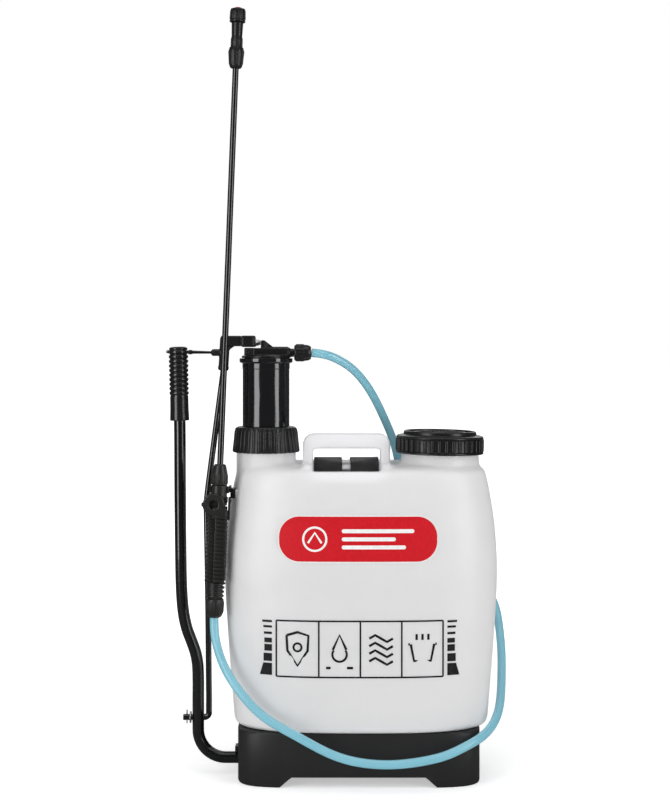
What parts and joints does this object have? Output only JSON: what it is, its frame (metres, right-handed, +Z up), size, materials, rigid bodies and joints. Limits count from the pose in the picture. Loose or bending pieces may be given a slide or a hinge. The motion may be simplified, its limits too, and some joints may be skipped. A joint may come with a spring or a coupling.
{
  "type": "backpack sprayer",
  "caption": "Backpack sprayer: a rounded liquid tank on a moulded base with a side pump lever, plunger pump, screw lid, hose, trigger handle with a spray lance, and a padded two-strap harness.",
  "frame": {"origin": "middle of the sprayer's footprint at floor level, measured without the hose; the middle of the tank itself is 36 mm to +X of it", "axes": "+Z up, -Y towards the printed front of the tank, +Y towards the wearer's back, -X towards the side with the pump lever and the stored lance"},
  "size_m": [0.4233, 0.2221, 0.9358],
  "materials": {
    "tank_shell": "natural white blow-moulded polyethylene, satin, slightly translucent",
    "black_moulding": "black injection-moulded polypropylene, fine satin texture",
    "gloss_moulding": "polished black plastic",
    "painted_tube": "gloss black paint on steel tube and wire",
    "zinc_hardware": "zinc-plated steel",
    "rubber_seal": "moulded black rubber",
    "natural_plastic": "natural white acetal and polypropylene, unpainted",
    "red_insert": "red moulded plastic",
    "hose_pvc": "pale blue reinforced PVC hose, clear outer wall",
    "harness_webbing": "flat woven polypropylene webbing",
    "pad_cover": "padded woven fabric with a bound edge"
  },
  "bodies": {
    "root": {"tank": "tank_shell", "base": "black_moulding", "lever_retainer": "black_moulding", "neck_gasket": "rubber_seal", "pump_nut": "black_moulding", "pump_barrel": "natural_plastic", "suction_pipe": "natural_plastic", "inlet_strainer": "natural_plastic", "lever_bush_left": "natural_plastic", "lever_bush_right": "natural_plastic", "gun_body": "black_moulding", "trigger_pin": "painted_tube", "gun_filter": "natural_plastic", "valve_seal": "rubber_seal", "valve_spring": "zinc_hardware", "hose_tail_gun": "natural_plastic", "hose_nut_gun": "black_moulding", "lance_nut": "black_moulding", "lance_tube": "painted_tube", "nozzle_nut": "black_moulding", "nozzle_body": "black_moulding", "swirl_core": "red_insert", "lance_clip": "black_moulding", "hose": "hose_pvc", "strap_upper_left": "harness_webbing", "strap_upper_right": "harness_webbing", "shoulder_pad_left": "pad_cover", "shoulder_pad_right": "pad_cover", "strap_buckle_left": "black_moulding", "strap_buckle_right": "black_moulding", "strap_lower_left": "harness_webbing", "strap_lower_right": "harness_webbing", "strap_hook_left": "black_moulding", "strap_hook_right": "black_moulding"},
    "lever": {"lever_tube": "painted_tube", "lever_cotter_pin": "zinc_hardware", "lever_grip": "black_moulding", "stow_peg": "painted_tube"},
    "pump_rod_arm": {"pump_arm": "black_moulding", "arm_bolt": "zinc_hardware", "pump_rod": "painted_tube", "rod_cotter_pin": "zinc_hardware", "rod_washer": "zinc_hardware"},
    "plunger": {"air_chamber": "gloss_moulding", "piston": "natural_plastic", "piston_cup": "rubber_seal", "discharge_tube": "natural_plastic", "pump_head": "black_moulding", "hose_tail_pump": "natural_plastic", "hose_nut_pump": "black_moulding"},
    "outlet_ball": {"outlet_ball": "natural_plastic"},
    "suction_ball": {"suction_ball": "natural_plastic"},
    "lid_seal": {"lid_gasket": "rubber_seal"},
    "lid": {"filler_lid": "black_moulding", "breather_valve": "rubber_seal"},
    "strainer": {"strainer_basket": "natural_plastic"},
    "trigger": {"trigger_lever": "black_moulding"},
    "trigger_lock": {"trigger_lock": "black_moulding"},
    "valve": {"valve_spindle": "natural_plastic"},
    "nozzle": {"nozzle_cap": "black_moulding"}
  },
  "joints": [
    {"name": "pump_lever", "type": "hinge", "parent": "root", "child": "lever", "pos_m": [-0.1644, -0.0225, 0.02], "axis": [-1, 0, 0], "range_deg": [0, 85]},
    {"name": "pump_rod_turn", "type": "hinge", "parent": "lever", "child": "pump_rod_arm", "pos_m": [-0.1644, -0.0225, 0.0694], "axis": [-1, 0, 0], "range_deg": [-91.2, 0]},
    {"name": "pump_stroke", "type": "slide", "parent": "root", "child": "plunger", "axis": [0, 0, -1], "range_m": [0, 0.0478]},
    {"name": "outlet_ball_lift", "type": "slide", "parent": "plunger", "child": "outlet_ball", "axis": [0, 0, 1], "range_m": [0, 0.003]},
    {"name": "suction_ball_lift", "type": "slide", "parent": "root", "child": "suction_ball", "axis": [0, 0, 1], "range_m": [0, 0.004]},
    {"name": "lid_lift", "type": "slide", "parent": "root", "child": "lid_seal", "axis": [0, 0, 1], "range_m": [0, 0.2]},
    {"name": "lid_turn", "type": "hinge", "parent": "lid_seal", "child": "lid", "pos_m": [0.1338, -0.0175, 0.411], "axis": [0, 0, 1], "range_deg": [0, 360]},
    {"name": "strainer_lift", "type": "slide", "parent": "root", "child": "strainer", "axis": [0, 0, 1], "range_m": [0, 0.1]},
    {"name": "trigger_squeeze", "type": "hinge", "parent": "root", "child": "trigger", "pos_m": [-0.14156, -0.0615, 0.3361], "axis": [0, 1, 0], "range_deg": [0, 4.5], "stiffness_Nm_per_rad": 3, "springref_deg": -2.86},
    {"name": "trigger_lock_slide", "type": "slide", "parent": "root", "child": "trigger_lock", "axis": [-0.0391, 0, -0.9992], "range_m": [0, 0.008]},
    {"name": "valve_lift", "type": "slide", "parent": "root", "child": "valve", "axis": [0.0391, 0, 0.9992], "range_m": [0, 0.0015]},
    {"name": "nozzle_turn", "type": "hinge", "parent": "root", "child": "nozzle", "pos_m": [-0.11351, -0.0615, 0.91765], "axis": [0.0391, 0, 0.9992], "range_deg": [0, 270]}
  ],
  "couplings": [
    {"joint": "pump_rod_turn", "follows": "pump_lever", "ratio": -1.072},
    {"joint": "pump_stroke", "follows": "pump_lever", "m_per_rad": 0.03215},
    {"joint": "strainer_lift", "follows": "lid_lift", "ratio": 0.5},
    {"joint": "valve_lift", "follows": "trigger_squeeze", "m_per_rad": 0.019}
  ]
}
